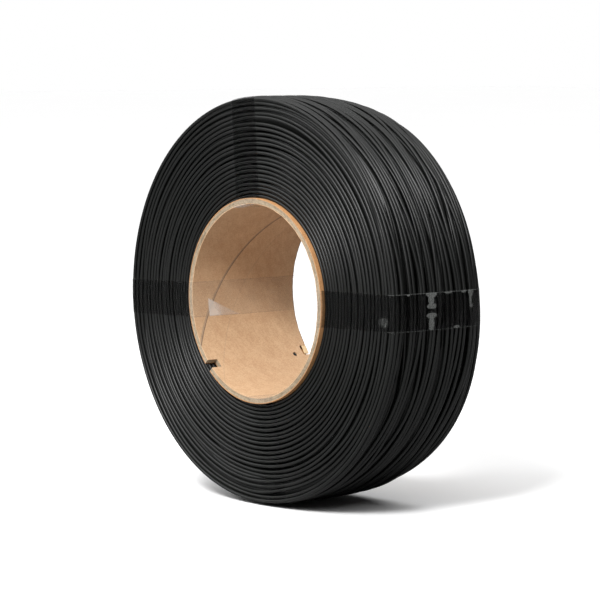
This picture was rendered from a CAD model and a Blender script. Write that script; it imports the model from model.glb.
import math

import bmesh
import bpy
import numpy as np
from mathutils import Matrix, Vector
from mathutils import noise as mathNoise


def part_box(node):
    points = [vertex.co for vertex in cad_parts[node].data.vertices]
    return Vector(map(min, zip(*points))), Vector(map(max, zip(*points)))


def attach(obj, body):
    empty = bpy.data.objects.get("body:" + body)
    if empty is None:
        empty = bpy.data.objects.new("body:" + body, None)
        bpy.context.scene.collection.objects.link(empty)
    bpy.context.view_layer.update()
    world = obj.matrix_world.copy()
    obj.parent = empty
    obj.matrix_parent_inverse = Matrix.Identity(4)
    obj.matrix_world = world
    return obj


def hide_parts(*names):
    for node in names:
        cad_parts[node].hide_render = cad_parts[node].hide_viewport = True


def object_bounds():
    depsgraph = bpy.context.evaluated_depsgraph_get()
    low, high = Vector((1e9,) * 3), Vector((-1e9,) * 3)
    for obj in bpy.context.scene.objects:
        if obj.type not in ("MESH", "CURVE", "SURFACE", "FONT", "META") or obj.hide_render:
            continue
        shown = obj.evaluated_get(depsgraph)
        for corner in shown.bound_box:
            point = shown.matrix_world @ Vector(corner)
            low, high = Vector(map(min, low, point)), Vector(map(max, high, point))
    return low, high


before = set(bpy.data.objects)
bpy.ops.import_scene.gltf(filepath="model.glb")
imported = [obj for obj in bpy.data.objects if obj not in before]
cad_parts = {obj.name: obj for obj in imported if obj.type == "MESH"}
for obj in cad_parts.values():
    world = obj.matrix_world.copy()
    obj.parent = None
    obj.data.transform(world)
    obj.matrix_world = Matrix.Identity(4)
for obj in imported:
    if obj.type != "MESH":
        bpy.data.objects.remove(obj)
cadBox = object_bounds()
mm = 0.001
full = 2 * math.pi

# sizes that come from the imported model, in millimetres
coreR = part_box("core_outer_wrap")[1].x / mm
boreR = 48.5
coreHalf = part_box("core_liner")[1].y / mm
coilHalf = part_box("filament_layer_01")[1].y / mm
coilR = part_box("filament_layer_29")[1].x / mm
packedLayers = 29
strandR = (coilR - coreR) / packedLayers / 2
print("frame loaded: core", round(coreR, 2), "coil", round(coilR, 2), "strand", round(strandR, 3))


# ---------- camera, floor and light ----------

view = {
    "azimuth": 49.1, "elevation": 4.9, "distance": 1.46, "lens": 172.8,
    "shiftX": -0.0075, "shiftY": -0.0045,
}

scene = bpy.context.scene
scene.view_settings.view_transform = "Standard"


def placeCamera():
    az, el = math.radians(view["azimuth"]), math.radians(view["elevation"])
    back = Vector((math.sin(az) * math.cos(el), -math.cos(az) * math.cos(el), math.sin(el)))
    data = bpy.data.cameras.new("camera")
    data.lens = view["lens"]
    data.sensor_width = 36
    data.shift_x, data.shift_y = view["shiftX"], view["shiftY"]
    data.clip_start, data.clip_end = 0.05, 60
    eye = bpy.data.objects.new("camera", data)
    eye.location = back * view["distance"]
    eye.rotation_euler = back.to_track_quat("Z", "Y").to_euler()
    scene.collection.objects.link(eye)
    scene.camera = eye


lamps = {
    # name: place (m), aims at, size (m), power (W)
    "softboxKey": ((0.62, -1.4, 1.3), (0, 0, 0), 0.5, 45),
    "softboxLeft": ((-1.1, -1.3, 1.0), (0, 0, 0), 0.45, 6),
}
sky = {"sunPower": 3.35, "sunSpread": 120, "sunFrom": (-0.05, -0.25, 1), "fill": 0.05}


def placeLamps():
    for name, (place, aim, size, power) in lamps.items():
        data = bpy.data.lights.new(name, "AREA")
        data.shape = "SQUARE"
        data.size = size
        data.energy = power
        lamp = bpy.data.objects.new(name, data)
        lamp.location = place
        lamp.rotation_euler = (Vector(place) - Vector(aim)).to_track_quat("Z", "Y").to_euler()
        scene.collection.objects.link(lamp)
    data = bpy.data.lights.new("overhead", "SUN")
    data.energy = sky["sunPower"]
    data.angle = math.radians(sky["sunSpread"])
    lamp = bpy.data.objects.new("overhead", data)
    lamp.rotation_euler = Vector(sky["sunFrom"]).to_track_quat("Z", "Y").to_euler()
    scene.collection.objects.link(lamp)


def placeSky():
    # white to the eye, and a dimmer fill on what it lights
    world = bpy.data.worlds.new("studio")
    world.use_nodes = True
    tree = world.node_tree
    glow = tree.nodes["Background"]
    ray = tree.nodes.new("ShaderNodeLightPath")
    level = tree.nodes.new("ShaderNodeMapRange")
    level.inputs["To Min"].default_value = sky["fill"]
    tree.links.new(ray.outputs["Is Camera Ray"], level.inputs["Value"])
    tree.links.new(level.outputs[0], glow.inputs["Strength"])
    glow.inputs["Color"].default_value = (1, 1, 1, 1)
    scene.world = world


# ---------- shader maths ----------

class Flow:
    # one socket of a material, with the arithmetic written as Python

    def __init__(self, paint, socket):
        self.paint, self.socket = paint, socket

    def math(self, how, other=0.0, first=None):
        a, b = (self, other) if first is None else (first, self)
        return self.paint.node("ShaderNodeMath", {"operation": how}, {0: a, 1: b})

    def __add__(self, other): return self.math("ADD", other)
    def __radd__(self, other): return self.math("ADD", other)
    def __sub__(self, other): return self.math("SUBTRACT", other)
    def __rsub__(self, other): return self.math("SUBTRACT", first=other)
    def __mul__(self, other): return self.math("MULTIPLY", other)
    def __rmul__(self, other): return self.math("MULTIPLY", other)
    def __truediv__(self, other): return self.math("DIVIDE", other)
    def __pow__(self, other): return self.math("POWER", other)

    def below(self, other): return self.math("LESS_THAN", other)
    def above(self, other): return self.math("GREATER_THAN", other)
    def size(self): return self.math("ABSOLUTE")

    def ramp(self, low, high):  # 0 at low, 1 at high, smooth between
        return self.paint.node("ShaderNodeMapRange", {"interpolation_type": "SMOOTHSTEP"},
                               {"Value": self, "From Min": low, "From Max": high})


class Paint:
    # one material and its nodes

    def __init__(self, name):
        self.material = bpy.data.materials.new(name)
        self.material.use_nodes = True
        self.tree = self.material.node_tree
        self.tree.nodes.clear()
        self.shader = self.tree.nodes.new("ShaderNodeBsdfPrincipled")
        out = self.tree.nodes.new("ShaderNodeOutputMaterial")
        self.tree.links.new(self.shader.outputs[0], out.inputs[0])

    def put(self, socket, value):
        if isinstance(value, Flow):
            self.tree.links.new(value.socket, socket)
        else:
            socket.default_value = value

    def node(self, kind, settings=None, inputs=None, out=0):
        made = self.tree.nodes.new(kind)
        for name, value in (settings or {}).items():
            setattr(made, name, value)
        for name, value in (inputs or {}).items():
            self.put(made.inputs[name], value)
        return Flow(self, made.outputs[out])

    def finish(self, **inputs):
        for name, value in inputs.items():
            self.put(self.shader.inputs[name.replace("_", " ")], value)
        return self.material

    def place(self):  # x, y, z in the object's own coordinates, in millimetres
        spot = self.tree.nodes.new("ShaderNodeTexCoord").outputs["Object"]
        apart = self.tree.nodes.new("ShaderNodeSeparateXYZ")
        self.tree.links.new(spot, apart.inputs[0])
        return [Flow(self, apart.outputs[k]) * 1000 for k in range(3)]

    def vector(self, x, y, z):
        return self.node("ShaderNodeCombineXYZ", None, {0: x, 1: y, 2: z})

    def clouds(self, where, scale, detail=3, rough=0.5, stretch=0.0):
        return self.node("ShaderNodeTexNoise", None,
                         {"Vector": where, "Scale": scale, "Detail": detail, "Roughness": rough,
                          "Distortion": stretch})

    def cells(self, where, scale):
        return self.node("ShaderNodeTexVoronoi", None, {"Vector": where, "Scale": scale})

    def ray(self, kind):  # 1 for rays of this kind, 0 for others
        return Flow(self, self.tree.nodes.new("ShaderNodeLightPath").outputs[kind])

    def blend(self, share, first, second):
        return self.node("ShaderNodeMix", {"data_type": "RGBA"}, {0: share, 6: first, 7: second}, out=2)

    def bump(self, height, strength, distance):
        return self.node("ShaderNodeBump", None,
                         {"Strength": strength, "Distance": distance * mm, "Height": height})


def rgb(r, g, b):
    return (r, g, b, 1)


def polar(paint):  # distance from the axis in mm, angle in degrees from +X towards +Z, place along the axis
    x, y, z = paint.place()
    r = (x * x + z * z).math("SQRT")
    angle = z.math("ARCTAN2", x) * (180 / math.pi)
    return r, angle, y, x, z


# ---------- finishes ----------

filamentLook = {
    "dark": rgb(0.0025, 0.003, 0.0025), "light": rgb(0.006, 0.0065, 0.006),
    "rough": 0.44, "shine": 0.36,
}


def filamentFinish():
    p = Paint("filament")
    r, angle, y, x, z = polar(p)
    along = p.vector(r * 0.35, y * 0.35, angle * 0.035)  # long streaks that follow the strand
    streak = p.clouds(along, 1.6, 3, 0.6)
    cloud = p.clouds(p.vector(x, y, z), 0.06, 2)
    grain = p.clouds(p.vector(x, y, z), 3.5, 2)
    tone = (streak * 0.7 + cloud * 0.3).ramp(0.3, 0.7)
    return p.finish(Base_Color=p.blend(tone, filamentLook["dark"], filamentLook["light"]),
                    Roughness=filamentLook["rough"] + (grain - 0.5) * 0.12 + (streak - 0.5) * 0.12,
                    Specular_IOR_Level=filamentLook["shine"],
                    Normal=p.bump(grain, 0.04, 0.05))


cardLook = {
    "liner": (rgb(0.475, 0.29, 0.16), rgb(0.61, 0.415, 0.25)),
    "board": (rgb(0.21, 0.158, 0.10), rgb(0.41, 0.32, 0.22)),
    "wrap": (rgb(0.40, 0.19, 0.07), rgb(0.54, 0.28, 0.12)),
    "torn": (rgb(0.62, 0.44, 0.24), rgb(0.86, 0.66, 0.40)),
}
linerSeam = {"y": 8.1, "angle": 126.4, "lead": 0.5, "second": 16.35}


def cardFinish(name, seams=False):
    p = Paint("card_" + name)
    r, angle, y, x, z = polar(p)
    dark, light = cardLook[name]
    turned = angle + angle.below(0) * 360
    around = turned * (boreR * math.pi / 180)
    sheet = p.vector(around, y, r)
    fibre = p.clouds(p.vector(around * 0.18 + y * 0.09, y - around * 0.5, r), 0.9, 4, 0.65, 0.6)
    pulp = p.clouds(sheet, 0.16, 4, 0.6)
    speck = p.clouds(sheet, 2.2, 2, 0.7)
    fine = p.clouds(p.vector(around * 2.2, y * 0.9, r), 1.0, 3, 0.7)
    tone = (fibre * 0.2 + pulp * 0.18 + speck * 0.3 + fine * 0.32).ramp(0.40, 0.60)
    colour = p.blend(tone, dark, light)
    dots = p.cells(sheet, 0.23).below(0.07) * p.clouds(sheet, 0.09, 1).above(0.52)
    colour = p.blend(dots * 0.45, colour, rgb(0.25, 0.14, 0.07))
    height = fibre * 0.5 + speck * 0.3 + pulp * 0.4
    if seams:
        lead = y + turned * linerSeam["lead"] - (linerSeam["y"] + linerSeam["angle"] * linerSeam["lead"])
        wave = (p.clouds(sheet, 0.35, 2) - 0.5) * 0.5
        first = 1 - (lead + wave * 0.6).size().ramp(0.5, 0.75)
        shade = 1 - (lead + wave * 0.6 - 0.65).size().ramp(0.15, 0.45)
        step = (lead + wave).ramp(-0.3, 0.3)
        second = 1 - (lead + wave - linerSeam["second"]).size().ramp(0.1, 0.5)
        colour = p.blend(first * 0.6 + second * 0.2, colour, rgb(0.24, 0.18, 0.13))
        colour = p.blend(shade * 0.75, colour, rgb(0.08, 0.045, 0.025))
        rim = (y + (speck - 0.5) * 0.5).ramp(33.3, 33.6)
        colour = p.blend(rim * 0.75, colour, rgb(0.17, 0.075, 0.03))
        height = height + step * 1.6 - first * 0.9
    return p.finish(Base_Color=colour, Roughness=0.72 + (fibre - 0.5) * 0.2,
                    Normal=p.bump(height, 0.55, 0.12))


def boardFinish():
    p = Paint("card_board")
    r, angle, y, x, z = polar(p)
    dark, light = cardLook["board"]
    lines = p.clouds(p.vector(r * 3.2, angle * 0.12, y * 0.4), 1.0, 3, 0.6)
    pulp = p.clouds(p.vector(x, y, z), 0.8, 3)
    tone = (lines * 0.6 + pulp * 0.4).ramp(0.36, 0.62)
    return p.finish(Base_Color=p.blend(tone, dark, light), Roughness=0.85,
                    Normal=p.bump(lines + pulp * 0.6, 0.6, 0.15))


tapeLook = {"onCard": (rgb(0.40, 0.32, 0.25), 0.08), "onStrand": rgb(0.0015, 0.0015, 0.0015),
            "air": rgb(0.26, 0.27, 0.26), "lifted": rgb(0.85, 0.82, 0.78)}
# where air is caught under the right strap: angle, place along the axis, half lengths
airPockets = [(4.9, -8.0, 1.2, 3.8), (3.2, -8.3, 1.2, 2.0), (1.6, -8.0, 0.75, 3.5), (-0.9, -8.0, 0.75, 3.7),
              (-3.2, -8.0, 2.4, 1.9), (5.6, 3.1, 1.0, 3.6), (5.5, 14.0, 1.0, 2.6), (5.0, 19.4, 1.7, 2.3),
              (2.6, 18.8, 1.8, 1.0), (0.9, 19.6, 0.6, 1.7), (5.2, -23, 0.6, 1.2), (-4.6, 9, 0.5, 2.2)]


def tapeFinish():
    p = Paint("clear_tape")
    r, angle, y, x, z = polar(p)
    across = p.node("ShaderNodeAttribute", {"attribute_name": "across"}, out=2).size()
    veil = p.node("ShaderNodeAttribute", {"attribute_name": "veil"}, out=2)
    haze = p.clouds(p.vector(x, y, z), 0.12, 2)
    fine = p.clouds(p.vector(x, y, z), 1.1, 3)
    onCard = r.below(coreR + 0.2)
    cardColour, cardVeil = tapeLook["onCard"]
    air = 0
    for a0, y0, da, dy in airPockets:
        away = ((angle - a0) / da) ** 2 + ((y - y0) / dy) ** 2
        air = (1 - away + (fine - 0.5) * 0.5).ramp(0.0, 0.25).math("MAXIMUM", air)
    air = air * r.above(90)
    edge = across.ramp(0.96, 0.985) * (fine.ramp(0.42, 0.58) * 0.7 + 0.2)
    edge = edge * (r.above(98) * 0.85 + onCard * 0.85 + 0.12)
    turned = angle + angle.below(0) * 360
    lifted = (turned - (182 + (y + 23.7) * 0.552)).ramp(0, 1.2) * y.ramp(-24.2, -23.2) * turned.below(193.6)
    lifted = lifted * turned.above(181) * onCard * r.below(boreR + 0.1) * (haze * 0.8 + 0.45)
    lifted = lifted * (1.25 - y.ramp(-21, -13) * 0.7)
    bore = onCard * r.below(boreR + 0.1)
    top = 1 - (((turned - 103) / 9) ** 2 + ((y + 31) / 6) ** 2).ramp(0.5, 1.1)
    bottom = 1 - (((turned - 262) / 3) ** 2 + ((y + 21) / 8) ** 2).ramp(0.4, 1.1)
    lifted = (top * 0.8 + bottom * 0.35) * bore * (haze * 0.8 + 0.45) + lifted
    folds = 1 - (((r - 94.5) / 4) ** 2 + ((angle + 2.6 + (fine - 0.5)) / 1.6) ** 2).ramp(0.3, 1.1)
    air = (folds * y.below(-31.9) * fine.ramp(0.42, 0.6) * 0.5).math("MAXIMUM", air)
    colour = p.blend(onCard, tapeLook["onStrand"], cardColour)
    colour = p.blend(air.math("MAXIMUM", edge), colour, tapeLook["air"])
    colour = p.blend(lifted, colour, tapeLook["lifted"])
    alpha = veil + (haze - 0.5) * 0.08 - onCard * (veil - cardVeil) - air * (veil - 0.16 - fine * 0.12)
    alpha = alpha - edge * (alpha - 0.22) - lifted * (alpha - 0.3)
    alpha = alpha + top * bore * 0.25
    # the film throws no spots of light on the card
    bounced = p.ray("Is Diffuse Ray").math("MAXIMUM", p.ray("Is Glossy Ray"))
    alpha = alpha * (1 - bounced)
    return p.finish(Base_Color=colour, Alpha=alpha, Roughness=0.24 + (haze - 0.5) * 0.15,
                    Specular_IOR_Level=0.06, Normal=p.bump(haze + air * 0.5, 0.15, 0.3))


def floorFinish():
    p = Paint("floor")
    x, y, z = p.place()
    soft = p.clouds(p.vector(x, y, z), 0.004, 2)
    # white to the eye, and duller in what it throws back at the coil
    seen = p.ray("Is Camera Ray")
    bright = p.blend(soft, rgb(0.95, 0.95, 0.95), rgb(0.97, 0.97, 0.97))
    return p.finish(Base_Color=p.blend(seen, rgb(0.28, 0.28, 0.28), bright), Roughness=0.9)


# ---------- small tools ----------

def addPiece(name, mesh, finish, slotName, *nodes):
    piece = bpy.data.objects.new(name, mesh)
    scene.collection.objects.link(piece)
    mesh.materials.append(finish)
    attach(piece, "root")
    if nodes:
        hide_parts(*nodes)
    return piece


def plainMesh(bm, name):
    mesh = bpy.data.meshes.new(name)
    bm.to_mesh(mesh)
    bm.free()
    return mesh


def smoothMesh(bm, name):
    for face in bm.faces:
        face.smooth = True
    return plainMesh(bm, name)


def swing(x, y, z, angle):
    # a point turned round the core's axis, by an angle in degrees
    cos, sin = math.cos(math.radians(angle)), math.sin(math.radians(angle))
    return Vector((x * cos - z * sin, y, x * sin + z * cos))


def spinRing(points, steps):
    # a closed outline of (distance from the axis, place along it), in mm, turned round the core's axis
    bm = bmesh.new()
    corners = [bm.verts.new((r * mm, y * mm, 0)) for r, y in points]
    rim = [bm.edges.new((a, b)) for a, b in zip(corners, corners[1:] + corners[:1])]
    bmesh.ops.spin(bm, geom=corners + rim, cent=(0, 0, 0), axis=(0, -1, 0), angle=full, steps=steps,
                   use_merge=True)
    bmesh.ops.remove_doubles(bm, verts=bm.verts, dist=1e-7)
    bmesh.ops.recalc_face_normals(bm, faces=bm.faces)
    return bm


# ---------- the winding ----------

winding = {
    "layers": 22,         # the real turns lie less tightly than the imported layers
    "spread": 0.28,       # how much further apart the outer layers are than the inner ones
    "stations": 160,      # places round the coil where the turns are worked out
    "sides": 8,           # round the strand
    "pitch": 2.45,        # from turn to turn along the axis, mm
    "rounds": 60,
    "seed": 7,
    "wander": (0.25, 2.1),    # how far a turn strays sideways, at the core and at the rim, mm
    "recess": (0.2, 0.9),     # how far the turns at a face sink back
    "heave": (0.06, 0.6),     # how far a turn strays in or out
    "shown": 3,           # turns modelled at each face of the inner layers
    "wholeLayers": 3,     # layers at the rim that have every turn
    "ringSteps": 96,
    "wallFoot": 86,       # where the walls between the outer turns start, mm from the axis
    # each wall's place along the axis and outside radius, mm
    "walls": [(-29.9, 101.0), (-27.5, 99.8), (-23.5, 99.9), (-18.5, 99.9), (-12, 99.9), (-5, 99.8),
              (3, 99.5), (10, 98.4), (16, 96.6), (22, 93), (29.9, 91.4)],
    "missing": {21: (3, 8, 13, 18, 22), 20: (5, 15)},   # layer and the turns it goes without
    "pull": (0.04, 0.10),     # how hard a turn is drawn to its own radius and place each round
    "push": 0.35,             # how hard turns that overlap push each other apart
    "soften": (2, 6),         # smoothing in each round, and at the end
}
# the coil's outline: place along the axis and radius, mm
rimPoints = [(-32, 101.2), (-29.5, 102.1), (-24, 102.2), (-16, 102.2), (0, 102.2), (12, 101.8),
             (20, 100.8), (26, 98.8), (30, 95.4), (32, 92.2)]
# where the rounded back edge reaches further forward or back: angle, spread in degrees, shift in mm
backShifts = [(98, 16, -9), (-42, 22, 5), (200, 40, -2)]
# long gaps between turns of the outer layers:
# angle, half length in degrees, place along the axis, half width in mm
partings = [(38, 14, -25, 1.5), (50, 16, -6.5, 1.7), (42, 20, 9, 2.2), (22, 13, 16, 1.7), (-28, 18, -24, 1.8),
            (-52, 9, -19, 2.0), (-36, 20, -12, 1.4), (-20, 15, 2, 1.5), (-55, 14, 5, 1.7), (12, 12, -15, 1.3),
            (66, 14, -20, 1.4), (-14, 10, 19, 1.8), (76, 16, 8, 1.8), (-6, 14, 10, 1.3)]


def smoothNoise(rng, shape, stations, waves):
    # periodic noise round the coil, about -1 to 1
    angle = np.arange(stations) * full / stations
    total = np.zeros(shape + (stations,))
    for wave in waves:
        a, b = rng.normal(size=(2,) + shape + (1,))
        total += (a * np.cos(wave * angle) + b * np.sin(wave * angle)) / len(waves) ** 0.5
    return total / 1.4


def soften(values, times):
    for _ in range(times):
        values = 0.5 * values + 0.25 * (np.roll(values, 1, -1) + np.roll(values, -1, -1))
    return values


def nearAngle(stations, middle, spread):
    away = (np.arange(stations) * 360 / stations - middle + 180) % 360 - 180
    return np.exp(-0.5 * (away / spread) ** 2)


def backShift(angles):
    # how far the rounded back edge is moved along the axis at each angle in degrees
    return sum(amount * np.exp(-0.5 * (((angles - angle + 180) % 360 - 180) / spread) ** 2)
               for angle, spread, amount in backShifts)


def coilHeight(place, shift):
    # radius of the coil's outside at a place along the axis
    outY, outR = zip(*rimPoints)
    return np.interp(place - shift * np.clip((place + 6) / 18, 0, 1), outY, outR)


def windCoil():
    rng = np.random.default_rng(winding["seed"])
    stations, layers = winding["stations"], winding["layers"]
    turns = int((2 * coilHalf - 2 * strandR) / winding["pitch"]) + 1
    pitch = (2 * coilHalf - 2 * strandR) / (turns - 1)
    layer = np.arange(layers)[:, None, None]
    turn = np.arange(turns)[None, :, None]
    depth = layer / (layers - 1)
    mix = lambda pair, power=1.3: pair[0] + (pair[1] - pair[0]) * depth ** power
    shape = (layers, turns)
    short, long = [4, 5, 6, 7], [1, 2, 3]
    own = smoothNoise(rng, shape, stations, short) * 0.6 + smoothNoise(rng, shape, stations, long) * 0.6
    common = smoothNoise(rng, (layers, 1), stations, long + short[:2])
    edge = np.minimum(turn, turns - 1 - turn)
    inwards = np.where(turn < turns / 2, 1, -1)
    recess = np.abs(smoothNoise(rng, shape, stations, long + short[:3])) * mix(winding["recess"], 1.2)
    base = -coilHalf + strandR + turn * pitch
    targetY = base + (own * 0.8 + common * 0.5) * mix(winding["wander"]) * (edge > 0)
    targetY = targetY + recess * inwards * np.exp(-edge * 0.9) * (layer < layers - 1)
    for angle, half, y, width in partings:
        apart = targetY - y
        aside = np.sign(apart) * width * np.exp(-(apart / 4) ** 2) * nearAngle(stations, angle, half * 0.6)
        targetY = targetY + aside * (layer >= layers - 2)
    heave = smoothNoise(rng, shape, stations, [2, 3, 4, 6]) * mix(winding["heave"], 0.8)
    looser = winding["spread"]
    share = depth * (1 - looser / 2 + looser / 2 * depth)
    targetR = coreR + strandR + share * (coilR - coreR - 2 * strandR) + heave
    shift = backShift(np.arange(stations) * 360 / stations)
    limit = coilHeight(base - 3, 0) - strandR
    there = (targetR - heave <= limit + 1.4 * strandR) * np.ones((1, 1, stations))
    for bare, gone in winding["missing"].items():
        there[bare, list(gone)] = 0
    radius, place = targetR.copy(), targetY.copy()
    gap = 2 * strandR
    eachTime, atEnd = winding["soften"]
    pairs = [(0, 1), (0, 2)] + [(1, k) for k in (-2, -1, 0, 1, 2)] + [(2, k) for k in (-1, 0, 1)]
    for _ in range(winding["rounds"]):
        radius += (targetR - radius) * winding["pull"][0]
        place += (targetY - place) * winding["pull"][1]
        for up, over in pairs:
            a = np.s_[:layers - up, max(0, -over):turns - max(0, over)]
            b = np.s_[up:, max(0, over):turns + min(0, over)]
            dr, dy = radius[b] - radius[a], place[b] - place[a]
            far = np.sqrt(dr * dr + dy * dy) + 1e-9
            push = np.clip(gap - far, 0, 1) * winding["push"] * there[a] * there[b] / far
            radius[a] -= dr * push
            radius[b] += dr * push
            place[a] -= dy * push
            place[b] += dy * push
        radius, place = soften(radius, eachTime), soften(place, eachTime)
        radius = np.maximum(radius, coreR + strandR)
        place = np.clip(place, -coilHalf + strandR, coilHalf - strandR)
        radius = np.minimum(radius, coilHeight(place, shift) - strandR)
    radius, place = soften(radius, atEnd), soften(place, atEnd)
    print("coil wound:", layers, "layers,", turns, "turns each")
    return radius, place, there[:, :, 0] > 0, turns


def strandTemplate():
    sides = winding["sides"]
    points = [(coilR + strandR * math.cos(full * k / sides), strandR * math.sin(full * k / sides))
              for k in range(sides)]
    bm = spinRing(points, winding["stations"])
    mesh = plainMesh(bm, "template")
    co = np.zeros(len(mesh.vertices) * 3)
    mesh.vertices.foreach_get("co", co)
    x, y, z = co.reshape(-1, 3).T / mm
    angle = np.arctan2(z, x)
    station = np.rint(angle / full * winding["stations"]).astype(int) % winding["stations"]
    return mesh, np.cos(angle), np.sin(angle), np.hypot(x, z) - coilR, y, station


def makeLayers(finish):
    radius, place, there, turns = windCoil()
    mesh, cos, sin, dr, dy, station = strandTemplate()
    shown, layers = winding["shown"], winding["layers"]
    ringSteps, foot = winding["ringSteps"], winding["wallFoot"]
    packed = {k: [n for n in range(1, packedLayers + 1) if math.ceil(n * layers / packedLayers) == k + 1]
              for k in range(layers)}
    for layer in range(layers):
        whole = layer >= layers - winding["wholeLayers"]
        wanted = [t for t in range(turns) if there[layer, t]]
        if not whole:
            wanted = wanted[:shown] + wanted[-shown:]
        bm = bmesh.new()
        for _ in wanted:
            bm.from_mesh(mesh)
        if not whole:
            low, high = place[layer, wanted[shown - 1]].max(), place[layer, wanted[shown]].min()
            mid = radius[layer, wanted[shown]].mean()
            under, over = mid - 0.6, mid + 0.6
            ring = spinRing([(under, low), (over, low), (over, high), (under, high)], ringSteps)
            bm.from_mesh(plainMesh(ring, "inner"))
        if layer == layers - 1:
            # dark walls deep between the turns, so that no daylight comes through along the layers
            for y, top in winding["walls"]:
                near, far = y - 0.15, y + 0.15
                wall = spinRing([(foot, near), (top, near), (top, far), (foot, far)], ringSteps)
                bm.from_mesh(plainMesh(wall, "wall"))
        name = f"filament_turns_{layer + 1:02d}"
        out = smoothMesh(bm, name)
        co = np.zeros(len(out.vertices) * 3)
        out.vertices.foreach_get("co", co)
        co = co.reshape(-1, 3)
        count = len(station)
        for k, t in enumerate(wanted):
            r = radius[layer, t, station] + dr
            y = place[layer, t, station] + dy
            co[k * count:(k + 1) * count] = np.stack([r * cos, y, r * sin], 1) * mm
        out.vertices.foreach_set("co", co.ravel())
        out.update()
        addPiece(name, out, finish, "filament", *[f"filament_layer_{n:02d}" for n in packed[layer]])
    print("strand layers made:", layers)


# ---------- the cardboard core ----------

core = {
    "steps": 192,
    "liner": 0.4, "wrap": 0.4, "plies": 5,
    "slotWidth": 6, "frontSlot": (225.5, 6.5), "backSlot": (221, 4.5),   # angle, length
    "crushed": 0.9,       # how far the front slot's lower lip is pushed into it
    "holeRadius": 1.3, "holeInset": 10, "holeAngle": 223.5,
    "fray": 0.14, "linerFray": 0.45,
    "endGap": 0.05,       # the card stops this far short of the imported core's ends
    "chamfer": 0.08,
    "sharp": 25,
    "cutMiddle": boreR + 1.5,     # the cutters' distance from the axis
    "cutDeep": 9, "cutPast": 4, "cutRound": 0.8,
}


def cutterMesh(angle, y, sizes, bevel):
    bm = bmesh.new()
    bmesh.ops.create_cube(bm, size=1)
    bmesh.ops.scale(bm, vec=Vector(sizes) * mm, verts=bm.verts)
    bmesh.ops.bevel(bm, geom=bm.edges[:], offset=bevel * mm, segments=3, profile=0.5,
                    affect="EDGES", material=-1)
    for v in bm.verts:
        x, along, z = v.co
        v.co = swing(x + core["cutMiddle"] * mm, along + y * mm, z, angle)
    return plainMesh(bm, "cutter")


def holeMesh():
    bm = bmesh.new()
    bmesh.ops.create_cone(bm, cap_ends=True, segments=20, radius1=core["holeRadius"] * mm,
                          radius2=core["holeRadius"] * mm, depth=8 * mm)
    for v in bm.verts:
        z, along, x = v.co
        y = along + (coreHalf - core["holeInset"]) * mm
        v.co = swing(x + core["cutMiddle"] * mm, y, z, core["holeAngle"])
    bmesh.ops.recalc_face_normals(bm, faces=bm.faces)
    return plainMesh(bm, "hole")


def cutAway(piece, cutters):
    for cutter in cutters:
        change = piece.modifiers.new("cut", "BOOLEAN")
        change.operation = "DIFFERENCE"
        change.solver = "EXACT"
        change.object = cutter
    bpy.context.view_layer.update()
    ready = bpy.data.meshes.new_from_object(piece.evaluated_get(bpy.context.evaluated_depsgraph_get()))
    piece.modifiers.clear()
    piece.data = ready


# tongues of torn paper that hang over the back slot: angles, front and back ends, distance from the axis
tornLips = {
    "core_torn_board": {"turn": (217.6, 223.4), "front": 31.1, "back": 33.9, "r": boreR + 0.25,
                        "look": "torn", "slot": "grey_board"},
    "core_torn_wrap": {"turn": (217.4, 224.8), "front": 29.2, "back": 33.8, "r": coreR - 0.75,
                       "look": "wrap", "slot": "kraft_wrap"},
}


def makeTornLips():
    for name, lip in tornLips.items():
        bm = bmesh.new()
        bmesh.ops.create_grid(bm, x_segments=10, y_segments=14, size=0.5)
        low, high = lip["turn"]
        for v in bm.verts:
            u, w = v.co.x + 0.5, v.co.y + 0.5
            ragged = mathNoise.noise(Vector((u * 3, w * 5, 0.5)))
            turn = math.radians(low + (high - low) * w * (1 + 0.2 * ragged * w))
            r = lip["r"] + 0.3 * w * w + 0.12 * ragged
            y = lip["front"] + (lip["back"] - lip["front"]) * u + 0.35 * ragged * (1 - u)
            v.co = Vector((r * math.cos(turn), y, r * math.sin(turn))) * mm
        paper = addPiece(name, smoothMesh(bm, name), cardFinish(lip["look"]), lip["slot"])
        wall = paper.modifiers.new("paper", "SOLIDIFY")
        wall.thickness = 0.25 * mm
        wall.offset = 0


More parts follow.
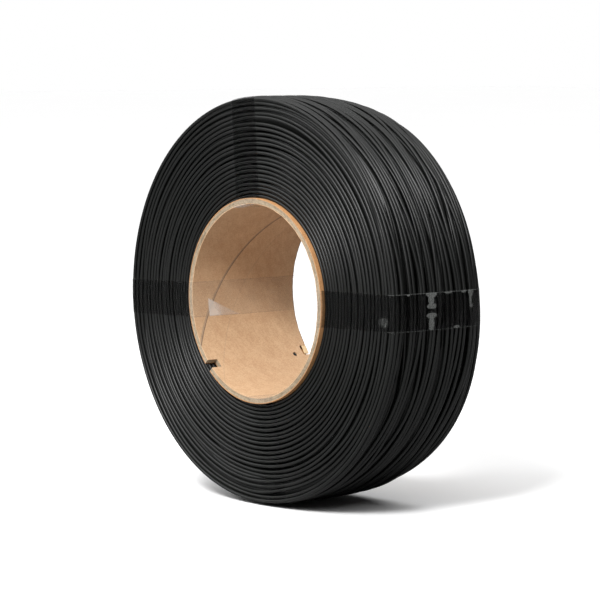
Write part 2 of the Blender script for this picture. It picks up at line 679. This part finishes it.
def makeCore(linerFinish, boardFin, wrapFinish):
    frontAngle, frontLong = core["frontSlot"]
    backAngle, backLong = core["backSlot"]
    wide, lip = core["slotWidth"], core["crushed"]
    cutters = []
    deep, past, soft = core["cutDeep"], core["cutPast"], core["cutRound"]
    frontTurn = frontAngle - math.degrees(lip / 2 / boreR)
    frontY = -coreHalf - past / 2 + frontLong / 2
    backY = coreHalf + past / 2 - backLong / 2
    for name, mesh in (
        ("frontSlotCutter", cutterMesh(frontTurn, frontY, (deep, frontLong + past, wide - lip), soft)),
        ("backSlotCutter", cutterMesh(backAngle, backY, (deep, backLong + past, wide), soft)),
        ("holeCutter", holeMesh()),
    ):
        cutters.append(bpy.data.objects.new(name, mesh))
        scene.collection.objects.link(cutters[-1])
    ply = (coreR - boreR - core["liner"] - core["wrap"]) / core["plies"]
    sleeves = [("core_liner", boreR, boreR + core["liner"], linerFinish, "kraft_liner")]
    inner = boreR + core["liner"]
    for k in range(core["plies"]):
        sleeves.append((f"core_ply_{k + 1}", inner + k * ply, inner + (k + 1) * ply, boardFin, "grey_board"))
    sleeves.append(("core_outer_wrap", coreR - core["wrap"], coreR, wrapFinish, "kraft_wrap"))
    for number, (node, low, high, finish, slotName) in enumerate(sleeves):
        end = coreHalf - core["endGap"]
        mid, cut = (low + high) / 2, core["chamfer"]
        outline = [(low, -end + cut), (low + cut, -end), (mid, -end), (high - cut, -end), (high, -end + cut),
                   (high, -end / 2), (high, 0), (high, end / 2),
                   (high, end - cut), (high - cut, end), (mid, end), (low + cut, end), (low, end - cut),
                   (low, end / 2), (low, 0), (low, -end / 2)]
        bm = spinRing(outline, core["steps"])
        for v in bm.verts:
            if abs(v.co.y) > (end - 0.2) * mm:
                side = 1 if v.co.y > 0 else -1
                where = Vector((v.co.x * 900 + number * 7, v.co.z * 900, side * 3.0))
                fray = core["fray"] if number else core["linerFray"]
                v.co.y -= side * abs(mathNoise.noise(where)) * fray * mm
        sleeve = addPiece(node + "_card", smoothMesh(bm, node + "_card"), finish, slotName, node)
        cutAway(sleeve, cutters)
        for face in sleeve.data.polygons:
            face.use_smooth = True
        sleeve.data.set_sharp_from_angle(angle=math.radians(core["sharp"]))
    for cutter in cutters:
        bpy.data.objects.remove(cutter)
    makeTornLips()
    print("core made")


# ---------- tape ----------

tape = {
    "width": 18, "thick": 0.06, "across": 24, "step": 1.6,
    # angle, shift to one side, how much it darkens the strands
    "straps": {"top": (94, 3, 0.26), "right": (1, -1.5, 0.28), "bottom": (280, -3, 0.03),
               "left": (181.5, 1.2, 0.22)},
    "off": 0.06,          # middle of the film, off the card it lies on
    "offFace": 0.05,      # and off the coil's face
    "offRim": 0.14,       # and off the coil's rim
    "rimAt": (-30, -24, -16, -8, 0, 6, 12, 16, 20, 23, 26, 28, 30, 31.4),
    "start": -20,         # where the film's outline starts, inside the bore
    "sharp": 40,
}


def tapePath(angle):
    # (distance from the axis, place along it) round the section of the coil, from inside the bore
    shift = float(backShift(np.array([angle]))[0])
    rim = [(float(coilHeight(y, shift)) + tape["offRim"], y) for y in tape["rimAt"]]
    inside, outside, end = boreR - tape["off"], coreR + tape["off"], coreHalf + tape["off"]
    foot, face = coreR + 0.4, coilHalf + tape["offFace"]
    path = [(inside, tape["start"]), (inside, -end), (outside, -end),
            (foot, -face), (rim[0][0] - 0.9, -face), (rim[0][0] - 0.3, -coilHalf + 0.5)]
    path += rim + [(rim[-1][0] - 0.9, coilHalf + 0.03),
                   (foot, face), (outside, end), (inside, end), (inside, tape["start"])]
    dense = []
    for (r0, y0), (r1, y1) in zip(path, path[1:]):
        count = max(1, round(math.hypot(r1 - r0, y1 - y0) / tape["step"]))
        dense += [(r0 + (r1 - r0) * k / count, y0 + (y1 - y0) * k / count) for k in range(count)]
    return dense


def makeTape(finish):
    for name, (angle, shift, veil) in tape["straps"].items():
        path = tapePath(angle)
        bm = bmesh.new()
        bmesh.ops.create_grid(bm, x_segments=len(path), y_segments=tape["across"], size=0.5)
        acrossLayer = bm.verts.layers.float.new("across")
        veilLayer = bm.verts.layers.float.new("veil")
        for v in bm.verts:
            v[acrossLayer], v[veilLayer] = v.co.y * 2, veil
            along = round((v.co.x + 0.5) * len(path)) % len(path)
            t = v.co.y * tape["width"] + shift
            r, y = path[along]
            x = math.sqrt(r * r - t * t)
            v.co = swing(x, y, t, angle) * mm
        bmesh.ops.remove_doubles(bm, verts=bm.verts, dist=1e-7)
        bmesh.ops.recalc_face_normals(bm, faces=bm.faces)
        film = f"tape_{name}_film"
        strap = addPiece(film, smoothMesh(bm, film), finish, "clear_tape", f"tape_strap_{name}")
        strap.data.set_sharp_from_angle(angle=math.radians(tape["sharp"]))
        wall = strap.modifiers.new("film", "SOLIDIFY")
        wall.thickness = tape["thick"] * mm
        wall.offset = 0
    print("tape made")


# ---------- build ----------

placeCamera()
placeLamps()
placeSky()
filament = filamentFinish()
makeLayers(filament)
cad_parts["strand_start_end"].data.materials.clear()
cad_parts["strand_start_end"].data.materials.append(filament)
makeCore(cardFinish("liner", seams=True), boardFinish(), cardFinish("wrap"))
makeTape(tapeFinish())

# floor
bm = bmesh.new()
bmesh.ops.create_grid(bm, x_segments=2, y_segments=2, size=12)
bmesh.ops.translate(bm, vec=(0, 0, cadBox[0][2] - 0.0002), verts=bm.verts)
floor = bpy.data.objects.new("floor", smoothMesh(bm, "floor"))
floor.data.materials.append(floorFinish())
scene.collection.objects.link(floor)
